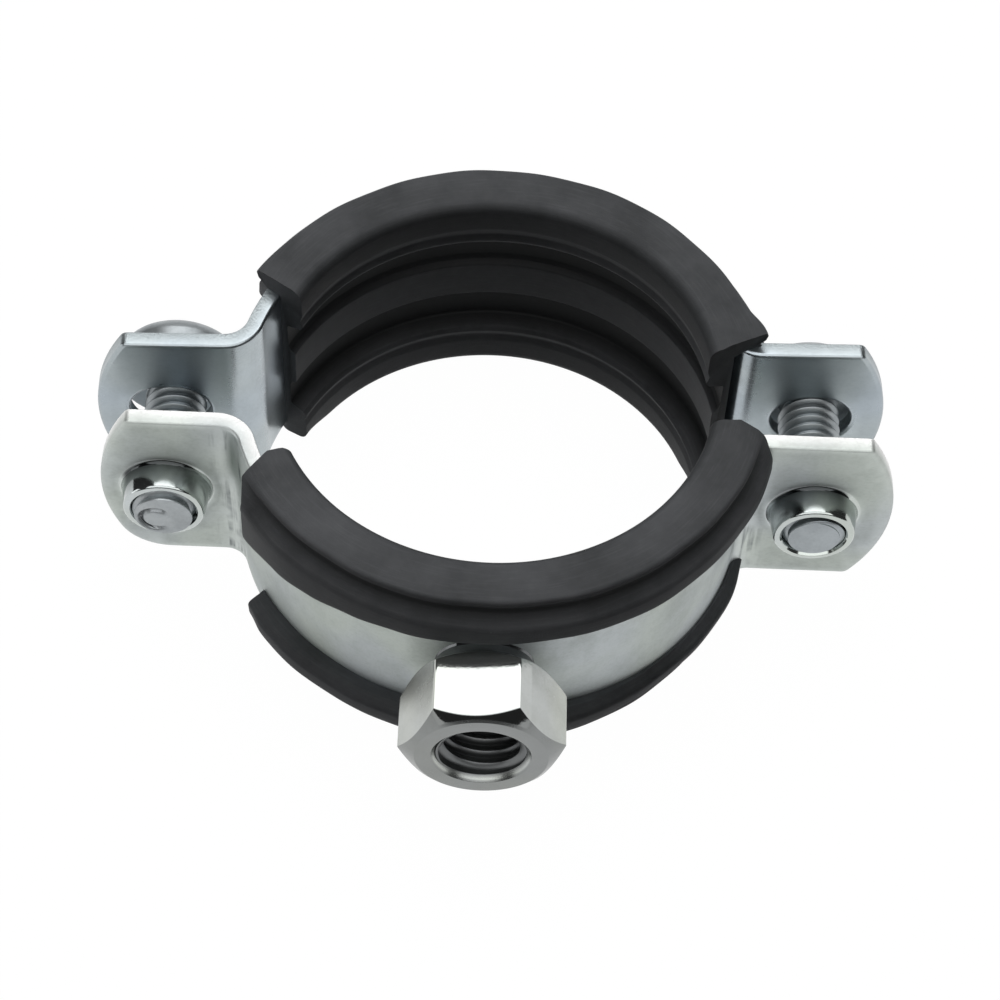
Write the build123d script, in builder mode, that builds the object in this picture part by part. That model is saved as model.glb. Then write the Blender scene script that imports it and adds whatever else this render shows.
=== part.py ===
from build123d import *
import math
import os

# A two-screw pipe clamp lined with rubber, lying on its side. All lengths in millimetres.
# Origin: the centre of the pipe bore, half way up the strip. +Z runs along the pipe,
# -Y points out of the threaded boss, +X to the right as seen from the boss.
# Each half of the clamp is drawn in its own plane, where +Y points at the crown of its arc.

# Pipe and rubber lining
pipe_radius = 20.2
lining_thickness = 2.5          # rim of the lining, from the pipe to the strip
land_relief = 1.0               # how far the middle land stands back from the rims
groove_relief = 1.8             # how far the two grooves stand back from the rims
land_half_width = 2.3
rim_reach = 3.4                 # how far a rim reaches in from the strip's edge
rim_undercut = 0.5              # how far the groove reaches in behind a rim
rim_rounding = 1.7
edge_wall = 2.0                 # rubber past each edge of the strip
shoulder_thickness = 0.7        # rubber over the strip's outer face, level with its edge
shoulder_rounding = 0.9
valley_depth = 1.4              # how far below the edge a crease sets the lip off
lip_reach = 3.2                 # how far a lip wraps over the face of the strip
lip_thickness = 2.3
lip_tip_thickness = 1.1
lip_rounding = 0.6
lining_span = 141.0             # degrees of arc that one lining covers
front_lining_slip = 8.0         # degrees each lining has crept round its strip
rear_lining_slip = -9.0

# Steel strip and its ears
strip_width = 20.0
strip_thickness = 1.5
bend_radius = 2.3               # hollow side of the bend between arc and ear
ear_gap = 8.4                   # between the two pairs of ears
rear_tilt = 1.7                 # degrees the rear half is turned by its uneven screws
rear_ear_end = 7.25             # from a screw's centre to the rounded end of its ear
front_ear_end_right = 7.45
front_ear_end_left = 6.15
ear_end_radius = 18.0
ear_corner_radius = 0.8

# Screws (M6) and the holes they pass
screw_radius = 2.95
screw_length = 16.0             # under the head
screw_point_chamfer = 0.55
head_radius = 6.0
head_rim = 1.9                  # straight side of the head below its dome
head_height = 4.5
head_flat_radius = 1.9
recess_width = 1.1
recess_length = 5.2
recess_depth = 2.0
recess_taper = 12.0
right_head_gap = 0.7            # between the head and the middle of its ear
left_head_gap = 2.1
slot_length = 8.0
slot_width = 6.7
thread_clearance = 0.05         # between a screw and its tapped collar
collar_radius = 4.05
collar_height = 2.8
collar_root_fillet = 0.7
collar_to_bend = 0.34           # flat of the ear between a collar and the bend
collar_entry_chamfer = 0.4

# Threaded boss (M8)
boss_across_flats = 13.0
boss_length = 7.4
boss_turn = 5.2                 # degrees, as welded
boss_face_radius = 6.2          # circle that the corner chamfer leaves on each end
boss_chamfer_angle = 30.0
boss_hole_radius = 3.4
boss_mouth_radius = 4.35
neck_radius = 5.2
neck_length = 1.9               # weld collar between the strip and the hexagon

band_inner = pipe_radius + lining_thickness
band_outer = band_inner + strip_thickness
ear_inner = ear_gap / 2
ear_outer = ear_inner + strip_thickness
half_width = strip_width / 2
rim_start = half_width - rim_reach
lip_start = half_width - lip_reach

# The bend turns about a point outside the arc: its hollow side is the strip's outer face.
bend_y = ear_outer + bend_radius
bend_x = math.sqrt((band_outer + bend_radius) ** 2 - bend_y**2)
bend_angle = math.degrees(math.atan2(bend_y, bend_x))
bend_turn = 90 - bend_angle
bend_back = bend_radius + strip_thickness

# The collars stand just clear of the bends, and the ears end at a set distance past them.
screw_x = bend_x + collar_to_bend + collar_root_fillet + collar_radius
rear_reach = screw_x + rear_ear_end
front_reach_right = screw_x + front_ear_end_right
front_reach_left = screw_x + front_ear_end_left

front_plane = Plane.XY.rotated((0, 0, 180))
rear_plane = Plane.XY.rotated((0, 0, rear_tilt))


def strip_section(plane, reach_left, reach_right):
    """Edge view of one half: ear, bend, arc, bend and ear, bent from a single strip."""
    with BuildSketch(plane) as section:
        with BuildLine():
            Line((-reach_left, ear_inner), (-bend_x, ear_inner))
            CenterArc((-bend_x, bend_y), bend_back, 270, bend_turn)
            CenterArc((0, 0), band_inner, 180 - bend_angle, 2 * bend_angle - 180)
            CenterArc((bend_x, bend_y), bend_back, 180 + bend_angle, bend_turn)
            Line((bend_x, ear_inner), (reach_right, ear_inner))
            offset(amount=strip_thickness, side=Side.LEFT)
        make_face()
    return section.sketch


def face_plane(plane):
    """The upright plane through the middle of a half, seen from its ears' inner faces."""
    return Plane(origin=(0, 0, 0), x_dir=plane.x_dir, z_dir=-plane.y_dir)


def ear_outline(plane, reach_left, reach_right):
    """Face view of one half: the strip's edges, and ears sheared to an arc at each end."""
    corner_drop = ear_end_radius - math.sqrt(ear_end_radius**2 - half_width**2)
    left = corner_drop - reach_left
    right = reach_right - corner_drop
    with BuildSketch(face_plane(plane)) as outline:
        with BuildLine():
            Line((left, half_width), (right, half_width))
            ThreePointArc((right, half_width), (reach_right, 0), (right, -half_width))
            Line((right, -half_width), (left, -half_width))
            ThreePointArc((left, -half_width), (-reach_left, 0), (left, half_width))
        make_face()
        fillet(outline.vertices(), radius=ear_corner_radius)
    return outline.sketch


def lining_profile(start_angle):
    """C-shaped section of a lining: two rims, a middle land and two lips round the strip."""
    radial = Plane(
        origin=(0, 0, 0),
        x_dir=(math.cos(math.radians(start_angle)), math.sin(math.radians(start_angle)), 0),
        z_dir=(math.sin(math.radians(start_angle)), -math.cos(math.radians(start_angle)), 0),
    )
    top = half_width + edge_wall
    land = pipe_radius + land_relief
    groove = pipe_radius + groove_relief
    shoulder = band_outer + shoulder_thickness
    lip = band_outer + lip_thickness
    lip_tip = band_outer + lip_tip_thickness
    outline = (
        (land, 0, 0),
        (land, land_half_width, 0.2),
        (groove, land_half_width + 0.3, 0.2),
        (groove, rim_start - rim_undercut, 0.3),
        (pipe_radius, rim_start, 0.25),
        (pipe_radius, top, rim_rounding),
        (shoulder, top, shoulder_rounding),
        (shoulder, top - valley_depth, lip_rounding),
        (lip, half_width - lip_thickness / 2, lip_rounding),
        (lip, lip_start + lip_rounding, lip_rounding),
        (lip_tip, lip_start, lip_rounding / 2),
        (band_outer, lip_start, 0),
        (band_outer, half_width, 0),
        (band_inner, half_width, 0),
        (band_inner, 0, 0),
    )
    with BuildSketch(radial) as profile:
        with BuildLine():
            FilletPolyline(
                [(radius, height) for radius, height, rounding in outline],
                radius=[rounding for radius, height, rounding in outline[1:-1]],
            )
            mirror(about=Plane.XZ)
        make_face()
    return profile.sketch


def screw_solid(x, under_head):
    """An M6 pan-head screw along Y, its head behind the rear ear."""
    point = under_head - screw_length
    with BuildPart() as screw:
        with BuildSketch():
            with BuildLine():
                Polyline(
                    (x, point),
                    (x + screw_radius - screw_point_chamfer, point),
                    (x + screw_radius, point + screw_point_chamfer),
                    (x + screw_radius, under_head),
                    (x + head_radius, under_head),
                    (x + head_radius, under_head + head_rim),
                )
                dome = ThreePointArc(
                    (x + head_radius, under_head + head_rim),
                    (x + head_radius * 0.78, under_head + head_height * 0.72),
                    (x + head_flat_radius, under_head + head_height),
                )
                Polyline(dome @ 1, (x, under_head + head_height), (x, point))
            make_face()
        revolve(axis=Axis((x, 0, 0), (0, 1, 0)))
        with BuildSketch(Plane.XZ.offset(-under_head - head_height)):
            with Locations((x, 0)):
                Rectangle(recess_length, recess_width)
                Rectangle(recess_width, recess_length)
        extrude(amount=recess_depth, taper=recess_taper, mode=Mode.SUBTRACT)
    return screw.part


os.makedirs("parts", exist_ok=True)

# Front half: its ears carry drawn and tapped collars.
with BuildPart() as band_front:
    extrude(
        strip_section(front_plane, front_reach_right, front_reach_left),
        amount=half_width,
        both=True,
    )
    with BuildSketch(Plane.XZ.offset(ear_outer)):
        with Locations((-screw_x, 0), (screw_x, 0)):
            Circle(collar_radius)
    extrude(amount=collar_height)
    roots = band_front.edges().filter_by(GeomType.CIRCLE).filter_by_position(
        Axis.Y, -ear_outer - 0.01, -ear_outer + 0.01
    )
    fillet(roots, radius=collar_root_fillet)
    with BuildSketch(Plane.XZ.offset(ear_inner)):
        with Locations((-screw_x, 0), (screw_x, 0)):
            Circle(screw_radius + thread_clearance)
    extrude(amount=strip_thickness + collar_height, mode=Mode.SUBTRACT)
    entries = band_front.edges().filter_by(GeomType.CIRCLE).filter_by_position(
        Axis.Y, -ear_inner - 0.01, -ear_inner + 0.01
    )
    chamfer(entries, length=collar_entry_chamfer)
    extrude(
        ear_outline(front_plane, front_reach_right, front_reach_left),
        amount=band_outer + boss_length,
        both=True,
        mode=Mode.INTERSECT,
    )
band_front.part.label = "band_front"
export_step(band_front.part, "parts/band_front.step")

# Rear half: its ears have slots, so that the screws can lean as they draw it in.
with BuildPart() as band_rear:
    extrude(
        strip_section(rear_plane, rear_reach, rear_reach),
        amount=half_width,
        both=True,
    )
    extrude(
        ear_outline(rear_plane, rear_reach, rear_reach),
        amount=band_outer + strip_thickness,
        both=True,
        mode=Mode.INTERSECT,
    )
    with BuildSketch(face_plane(rear_plane)):
        with Locations((-screw_x, 0), (screw_x, 0)):
            SlotOverall(slot_length, slot_width)
    extrude(amount=-ear_outer, mode=Mode.SUBTRACT)
band_rear.part.label = "band_rear"
export_step(band_rear.part, "parts/band_rear.step")

# Linings: swept round the bore, then cut back where the strip bends away into its ears.
front_start = 270 + front_lining_slip - lining_span / 2
with BuildPart() as lining_front:
    revolve(lining_profile(front_start), axis=Axis.Z, revolution_arc=lining_span)
    add(band_front.part, mode=Mode.SUBTRACT)
lining_front.part.label = "lining_front"
export_step(lining_front.part, "parts/lining_front.step")

rear_start = 90 + rear_tilt + rear_lining_slip - lining_span / 2
with BuildPart() as lining_rear:
    revolve(lining_profile(rear_start), axis=Axis.Z, revolution_arc=lining_span)
    add(band_rear.part, mode=Mode.SUBTRACT)
lining_rear.part.label = "lining_rear"
export_step(lining_rear.part, "parts/lining_rear.step")

# Boss: a hexagon with chamfered corners on a round weld collar that fits the strip's arc.
boss_back = band_outer + neck_length
boss_corner = boss_across_flats / math.sqrt(3)
corner_cut = (boss_corner - boss_face_radius) * math.tan(math.radians(boss_chamfer_angle))
with BuildPart() as boss_nut:
    with BuildSketch(Plane.XZ.offset(boss_back)):
        RegularPolygon(boss_across_flats / 2, 6, major_radius=False, rotation=boss_turn)
    extrude(amount=boss_length)
    with BuildSketch(Plane.XY):
        with BuildLine():
            Polyline(
                (0, -boss_back),
                (boss_face_radius, -boss_back),
                (boss_corner, -boss_back - corner_cut),
                (boss_corner, -boss_back - boss_length + corner_cut),
                (boss_face_radius, -boss_back - boss_length),
                (0, -boss_back - boss_length),
                close=True,
            )
        make_face()
    revolve(axis=Axis.Y, mode=Mode.INTERSECT)
    with BuildSketch(Plane.XZ.offset(boss_back)):
        Circle(neck_radius)
    extrude(amount=neck_radius - boss_back)
    with BuildSketch(Plane.XY):
        Circle(band_outer)
    extrude(amount=half_width, both=True, mode=Mode.SUBTRACT)
    with BuildSketch(Plane.XZ):
        Circle(boss_hole_radius)
    extrude(amount=boss_back + boss_length, mode=Mode.SUBTRACT)
    mouth = boss_nut.faces().sort_by(Axis.Y)[0].inner_wires()[0].edges()
    chamfer(mouth, length=boss_mouth_radius - boss_hole_radius)
    with BuildSketch(Plane.XZ):
        Circle(boss_mouth_radius)
    extrude(amount=band_outer, mode=Mode.SUBTRACT)
    with BuildSketch(Plane.XZ.offset(band_outer)):
        Circle(boss_mouth_radius)
    extrude(amount=boss_mouth_radius - boss_hole_radius, taper=45, mode=Mode.SUBTRACT)
boss_nut.part.label = "boss_nut"
export_step(boss_nut.part, "parts/boss_nut.step")

# Screws: the right head is tight on its ear, the left one is not driven home yet.
for label, side, head_gap in (
    ("screw_left", -1, left_head_gap),
    ("screw_right", 1, right_head_gap),
):
    lean = side * screw_x * math.tan(math.radians(rear_tilt))
    screw = screw_solid(side * screw_x, ear_outer + lean + head_gap)
    screw.label = label
    export_step(screw, f"parts/{label}.step")
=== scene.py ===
import math

import bmesh
import bpy
from mathutils import Matrix, Vector
from mathutils.geometry import delaunay_2d_cdt


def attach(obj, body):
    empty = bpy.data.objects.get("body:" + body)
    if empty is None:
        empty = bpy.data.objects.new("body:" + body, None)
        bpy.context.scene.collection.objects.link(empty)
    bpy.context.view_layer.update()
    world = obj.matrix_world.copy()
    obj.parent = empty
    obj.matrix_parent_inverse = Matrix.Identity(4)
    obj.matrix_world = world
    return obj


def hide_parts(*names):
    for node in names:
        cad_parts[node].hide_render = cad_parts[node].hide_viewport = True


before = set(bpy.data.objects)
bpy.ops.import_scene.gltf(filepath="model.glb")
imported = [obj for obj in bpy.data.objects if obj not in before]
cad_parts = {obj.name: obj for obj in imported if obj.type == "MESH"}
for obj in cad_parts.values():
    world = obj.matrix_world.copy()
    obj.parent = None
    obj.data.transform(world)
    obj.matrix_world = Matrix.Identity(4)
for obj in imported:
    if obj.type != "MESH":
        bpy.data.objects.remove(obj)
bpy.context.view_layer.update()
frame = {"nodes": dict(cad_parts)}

mm = 0.001
print("frame loaded:", ", ".join(frame["nodes"]))


# Helpers for node trees

def addNode(tree, kind, inputs=None, **settings):
    made = tree.nodes.new(kind)
    for name, value in settings.items():
        setattr(made, name, value)
    for name, value in (inputs or {}).items():
        if isinstance(value, bpy.types.NodeSocket):
            tree.links.new(value, made.inputs[name])
        else:
            made.inputs[name].default_value = value
    return made


def calc(tree, operation, *values, clamp=False):
    made = addNode(tree, "ShaderNodeMath", dict(enumerate(values)), operation=operation)
    made.use_clamp = clamp
    return made.outputs[0]


def mixColor(tree, factor, first, second):
    return addNode(tree, "ShaderNodeMix", {0: factor, 6: first, 7: second}, data_type="RGBA").outputs[2]


def stretch(tree, value, low, high, newLow=0.0, newHigh=1.0):
    inputs = {"Value": value, "From Min": low, "From Max": high, "To Min": newLow, "To Max": newHigh}
    return addNode(tree, "ShaderNodeMapRange", inputs).outputs[0]


def noise(tree, vector, size, detail=2.0, rough=0.5):
    scale = calc(tree, "DIVIDE", 1.0, size) if isinstance(size, bpy.types.NodeSocket) else 1.0 / size
    inputs = {"Vector": vector, "Scale": scale, "Detail": detail, "Roughness": rough}
    return addNode(tree, "ShaderNodeTexNoise", inputs).outputs[0]


def squeeze(tree, vector, scale):
    return addNode(tree, "ShaderNodeMapping", {"Vector": vector, "Scale": scale}).outputs[0]


def bump(tree, height, strength, depth, below=None):
    inputs = {"Height": height, "Strength": strength, "Distance": depth * mm}
    if below is not None:
        inputs["Normal"] = below
    return addNode(tree, "ShaderNodeBump", inputs).outputs[0]


def newGroup(name, kind, inputs, outputs):
    tree = bpy.data.node_groups.new(name, kind)
    for label, socketType, value in inputs:
        socket = tree.interface.new_socket(label, in_out="INPUT", socket_type=socketType)
        if value is not None:
            socket.default_value = value
    for label, socketType in outputs:
        tree.interface.new_socket(label, in_out="OUTPUT", socket_type=socketType)
    return tree, tree.nodes.new("NodeGroupInput").outputs, tree.nodes.new("NodeGroupOutput").inputs


def useGroup(tree, group, inputs):
    return addNode(tree, "ShaderNodeGroup", inputs, node_tree=group).outputs


def pointValue(tree, name):
    return addNode(tree, "ShaderNodeAttribute", attribute_name=name).outputs["Fac"]


def fromAxis(tree, first, second):
    return calc(tree, "SQRT", calc(tree, "ADD", calc(tree, "MULTIPLY", first, first),
                                   calc(tree, "MULTIPLY", second, second)))


# Zinc plating: pale clouds, fine speckle and short wiping marks. Lengths in mm.
platingLook = {"cloudShare": 0.65, "speckleShare": 0.35, "wipedWidth": 0.16, "tintPatch": 9.0,
               "dullRoughness": 0.7, "wipedRoughness": 0.35, "speckleHeight": 0.6, "wipedHeight": 0.4}


def makeZincPlating():
    tree, given, out = newGroup(
        "zincPlating", "ShaderNodeTree",
        [("Position", "NodeSocketVector", None), ("Grain", "NodeSocketVector", None),
         ("Cloud Size", "NodeSocketFloat", 6.0), ("Speckle Size", "NodeSocketFloat", 0.35),
         ("Lowest Roughness", "NodeSocketFloat", 0.16), ("Tarnish", "NodeSocketFloat", 0.3),
         ("First Tint", "NodeSocketColor", (0.47, 0.50, 0.48, 1)),
         ("Second Tint", "NodeSocketColor", (0.48, 0.50, 0.52, 1)),
         ("Dull Tint", "NodeSocketColor", (0.30, 0.32, 0.31, 1))],
        [("Color", "NodeSocketColor"), ("Roughness", "NodeSocketFloat"), ("Height", "NodeSocketFloat")])
    look, position = platingLook, given["Position"]
    clouds = noise(tree, position, given["Cloud Size"], 4.0, 0.62)
    speckle = noise(tree, position, given["Speckle Size"], 3.0, 0.6)
    wiped = noise(tree, given["Grain"], look["wipedWidth"], 3.0, 0.55)
    patches = calc(tree, "ADD", calc(tree, "MULTIPLY", stretch(tree, clouds, 0.40, 0.66), look["cloudShare"]),
                   calc(tree, "MULTIPLY", stretch(tree, speckle, 0.45, 0.75), look["speckleShare"]))
    dull = calc(tree, "MULTIPLY", patches, given["Tarnish"], clamp=True)
    tint = mixColor(tree, stretch(tree, noise(tree, position, look["tintPatch"], 1.0), 0.40, 0.62),
                    given["First Tint"], given["Second Tint"])
    uneven = calc(tree, "ADD", calc(tree, "MULTIPLY", dull, look["dullRoughness"]),
                  calc(tree, "MULTIPLY", wiped, look["wipedRoughness"]))
    rough = calc(tree, "MULTIPLY", given["Lowest Roughness"], calc(tree, "ADD", uneven, 1.0))
    height = calc(tree, "ADD", calc(tree, "MULTIPLY", speckle, look["speckleHeight"]),
                  calc(tree, "MULTIPLY", wiped, look["wipedHeight"]))
    tree.links.new(mixColor(tree, dull, tint, given["Dull Tint"]), out["Color"])
    tree.links.new(rough, out["Roughness"])
    tree.links.new(height, out["Height"])
    return tree


# Dust: pinhead specks of uneven size, in only some of the cells. Lengths in mm.
def makeDustSpecks():
    tree, given, out = newGroup(
        "dustSpecks", "ShaderNodeTree",
        [("Position", "NodeSocketVector", None), ("Spacing", "NodeSocketFloat", 3.0),
         ("Speck Size", "NodeSocketFloat", 0.09), ("Share", "NodeSocketFloat", 0.25)],
        [("Mask", "NodeSocketFloat")])
    cells = addNode(tree, "ShaderNodeTexVoronoi", {
        "Vector": given["Position"], "Scale": calc(tree, "DIVIDE", 1.0, given["Spacing"])}).outputs
    reach = calc(tree, "MULTIPLY", cells["Distance"], given["Spacing"])
    pick = addNode(tree, "ShaderNodeSeparateColor", {0: cells["Color"]}).outputs
    size = calc(tree, "MULTIPLY", given["Speck Size"], calc(tree, "ADD", pick[1], 0.4))
    inside = calc(tree, "SUBTRACT", 1.0, calc(tree, "DIVIDE", reach, size), clamp=True)
    chosen = calc(tree, "LESS_THAN", pick[0], given["Share"])
    tree.links.new(calc(tree, "MULTIPLY", stretch(tree, inside, 0.0, 0.35), chosen), out["Mask"])
    return tree


zincPlating = makeZincPlating()
dustSpecks = makeDustSpecks()


# The position handed back is in mm.
def newMaterial(name):
    material = bpy.data.materials.new(name)
    material.use_nodes = True
    tree = material.node_tree
    place = addNode(tree, "ShaderNodeTexCoord").outputs["Object"]
    return material, tree, tree.nodes["Principled BSDF"].inputs, squeeze(tree, place, (1 / mm, 1 / mm, 1 / mm))


# Sheet zinc: satin where flat, burnished where it was bent or drawn, torn where sheared; the sheared edges' tint is
# partly their own bare metal and partly painted light, a near-white painted highlight on the front strip and painted
# shade on the rear.
# Galling is the dark streaks that the tool drew across the bends.
stripFinish = {"cloudSize": 4.5, "speckleSize": 0.28, "workedRoughness": 0.085, "tarnish": 0.38, "grainLength": 7.0,
               "tornWidth": 0.22, "tornDepth": 0.08, "gallingStretch": 0.07, "gallingPatch": 2.6,
               "gallingTint": (0.13, 0.145, 0.15, 1), "cutShare": 0.9, "dimmedTint": (0.02, 0.022, 0.024, 1),
               "speckleDepth": 0.012, "waveDepth": 0.030, "waveSize": 6.5}
frontLook = {"flatRoughness": 0.55, "cutTintWithPaintedLight": (0.98, 0.98, 0.97, 1), "tornRoughness": 0.12, "galling": 0.8,
             "gallingWidth": 0.75}
rearLook = {"flatRoughness": 0.29, "cutTintWithPaintedLight": (0.36, 0.395, 0.405, 1), "tornRoughness": 0.32, "galling": 0.2,
            "gallingWidth": 1.7}
frontTints = {"First Tint": (0.520, 0.560, 0.530, 1), "Second Tint": (0.525, 0.560, 0.570, 1),
              "Dull Tint": (0.370, 0.395, 0.370, 1)}
# painted shade: the rear strip is given a darker, bluer copy of the front strip's zinc
rearShadedTints = {"First Tint": (0.400, 0.450, 0.490, 1), "Second Tint": (0.430, 0.475, 0.490, 1),
             "Dull Tint": (0.250, 0.290, 0.315, 1)}


def makeStripZinc(name, look, tints):
    material, tree, shader, position = newMaterial(name)
    blank = addNode(tree, "ShaderNodeTexCoord").outputs["UV"]
    cut, worked, folded, dimmed = (pointValue(tree, label) for label in ("cut", "worked", "folded", "dimmed"))
    plating = useGroup(tree, zincPlating, dict(tints, **{
        "Position": position, "Grain": squeeze(tree, blank, (1.0 / stripFinish["grainLength"], 1.0, 1.0)),
        "Cloud Size": stripFinish["cloudSize"], "Speckle Size": stripFinish["speckleSize"],
        "Lowest Roughness": stretch(tree, worked, 0.0, 1.0, look["flatRoughness"], stripFinish["workedRoughness"]),
        "Tarnish": stripFinish["tarnish"]}))
    torn = calc(tree, "MULTIPLY", cut, noise(
        tree, squeeze(tree, position, (1.0, 1.0, 0.5)), stripFinish["tornWidth"], 3.0, 0.6))
    drawn = squeeze(tree, blank, (1.0, stripFinish["gallingStretch"], 1.0))
    rubbed = noise(tree, drawn, look["gallingWidth"], 3.0, 0.55)
    patchy = stretch(tree, noise(tree, position, stripFinish["gallingPatch"], 2.0), 0.42, 0.62)
    galled = calc(tree, "MULTIPLY", calc(tree, "MULTIPLY", stretch(tree, rubbed, 0.47, 0.62), patchy),
                  calc(tree, "MULTIPLY", folded, look["galling"]))
    color = mixColor(tree, galled, plating["Color"], stripFinish["gallingTint"])
    # the cut edges' tint: partly bare metal, partly painted light (painted highlight on the front strip, painted shade
    # on the rear)
    color = mixColor(tree, calc(tree, "MULTIPLY", cut, stripFinish["cutShare"]), color, look["cutTintWithPaintedLight"])
    # painted dark reflection, near black, on the upper side of each collar's root
    tree.links.new(mixColor(tree, dimmed, color, stripFinish["dimmedTint"]), shader["Base Color"])
    tree.links.new(calc(tree, "ADD", plating["Roughness"], calc(
        tree, "MULTIPLY", torn, look["tornRoughness"])), shader["Roughness"])
    shader["Metallic"].default_value = 1.0
    wave = bump(tree, noise(tree, position, stripFinish["waveSize"], 1.0), 1.0, stripFinish["waveDepth"])
    fine = bump(tree, plating["Height"], 0.35, stripFinish["speckleDepth"], wave)
    tree.links.new(bump(tree, torn, 0.8, stripFinish["tornDepth"], fine), shader["Normal"])
    return material


# Boss and screws: tool marks run round the axis of the turned faces and along the flats.
turnedLook = {"speckleSize": 0.25, "ringStretch": 0.12, "paintedShadeTint": (0.12, 0.125, 0.13, 1), "waveSize": 3.0,
              "waveDepth": 0.012, "markDepth": 0.012}


def makeTurnedZinc(name, finish):
    material, tree, shader, position = newMaterial(name)
    moved = addNode(tree, "ShaderNodeVectorMath", {0: position, 1: (-finish["axisX"], 0, 0)}).outputs[0]
    x, y, z = addNode(tree, "ShaderNodeSeparateXYZ", {0: moved}).outputs
    spread = fromAxis(tree, x, z)
    rings = addNode(tree, "ShaderNodeCombineXYZ", {
        0: spread, 1: calc(tree, "MULTIPLY", y, turnedLook["ringStretch"]), 2: 0.0}).outputs[0]
    plating = useGroup(tree, zincPlating, dict(finish["tints"], **{
        "Position": position, "Grain": rings, "Cloud Size": finish["cloudSize"],
        "Speckle Size": turnedLook["speckleSize"], "Lowest Roughness": finish["lowestRoughness"],
        "Tarnish": finish["tarnish"]}))
    dark, rough = pointValue(tree, "paintedGrooveShade"), plating["Roughness"]
    if "shadeAndBurnish" in finish:
        dark, rough = shadeAndBurnishFaces(tree, finish["shadeAndBurnish"], spread, (x, y, z), rough)
    # painted shade: the plating colour goes towards the dark tint in the boss's bore, weld seat and front face, and in
    # the left screw's curled groove
    tree.links.new(mixColor(tree, dark, plating["Color"], turnedLook["paintedShadeTint"]), shader["Base Color"])
    tree.links.new(rough, shader["Roughness"])
    shader["Metallic"].default_value = finish["metal"]
    wave = bump(tree, noise(tree, position, turnedLook["waveSize"], 1.0), 1.0, turnedLook["waveDepth"])
    marks = bump(tree, plating["Height"], finish["markStrength"], turnedLook["markDepth"], wave)
    tree.links.new(marks, shader["Normal"])
    return material


# Painted shade: dark in the bore, darker at the weld seat, darker over the front face and its chamfer; burnished on
# the top flat.
def shadeAndBurnishFaces(tree, shadeAndBurnish, spread, place, rough):
    x, y, z = place
    front, edge = shadeAndBurnish["frontY"], shadeAndBurnish["faceRadius"]
    inBore = stretch(tree, spread, shadeAndBurnish["boreRadius"] + 0.15, shadeAndBurnish["boreRadius"] - 0.15)
    bore = calc(tree, "MULTIPLY", inBore, shadeAndBurnish["bore"])
    seatShade = calc(tree, "MULTIPLY", stretch(tree, y, shadeAndBurnish["seatY"] - 0.1, shadeAndBurnish["seatY"] + 0.2), shadeAndBurnish["seatShade"])
    slope = calc(tree, "MULTIPLY", calc(tree, "SUBTRACT", spread, edge), math.tan(math.radians(shadeAndBurnish["chamfer"])))
    aboveCone = calc(tree, "SUBTRACT", calc(tree, "SUBTRACT", y, front), slope)
    onCone = calc(tree, "MULTIPLY", stretch(tree, aboveCone, 0.09, 0.03),
                  stretch(tree, spread, edge - 0.15, edge - 0.05))
    faced = calc(tree, "MAXIMUM", stretch(tree, y, front + 0.25, front + 0.10), onCone)
    dark = calc(tree, "MAXIMUM", calc(tree, "MAXIMUM", bore, seatShade), calc(tree, "MULTIPLY", faced, shadeAndBurnish["faceShade"]))
    upper = calc(tree, "SUBTRACT", z, calc(tree, "MULTIPLY", calc(tree, "ABSOLUTE", x), shadeAndBurnish["topSlope"]))
    topSide = calc(tree, "MULTIPLY", stretch(tree, upper, 0.0, 0.4), stretch(tree, y, front + 0.17, front + 0.25))
    burnish = stretch(tree, topSide, 0.0, 1.0, 1.0, shadeAndBurnish["burnished"])
    rough = calc(tree, "MULTIPLY", rough, burnish)
    return dark, calc(tree, "ADD", rough, calc(tree, "MULTIPLY", bore, shadeAndBurnish["boreRoughness"]))


# Moulded rubber: satin, faintly drawn along its length, with a dusty film and a few specks.
rubberFinish = {"black": (0.074, 0.077, 0.081, 1), "film": (0.168, 0.173, 0.183, 1), "filmSize": 9.0, "filmShare": 0.7,
                "roughness": 0.52, "pebble": 0.17, "pebbleDepth": 0.030, "streak": 0.20, "streakShare": 0.2,
                "streakDepth": 0.012, "swell": 4.0, "swellDepth": 0.05, "specular": 0.10,
                "paintedHollowShadeTint": (0.012, 0.013, 0.013, 1), "dustTint": (0.36, 0.38, 0.38, 1),
                "dust": [{"Spacing": 2.6, "Speck Size": 0.07, "Share": 0.22, "amount": 0.35},
                         {"Spacing": 11.0, "Speck Size": 0.22, "Share": 0.4, "amount": 0.6}]}


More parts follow.
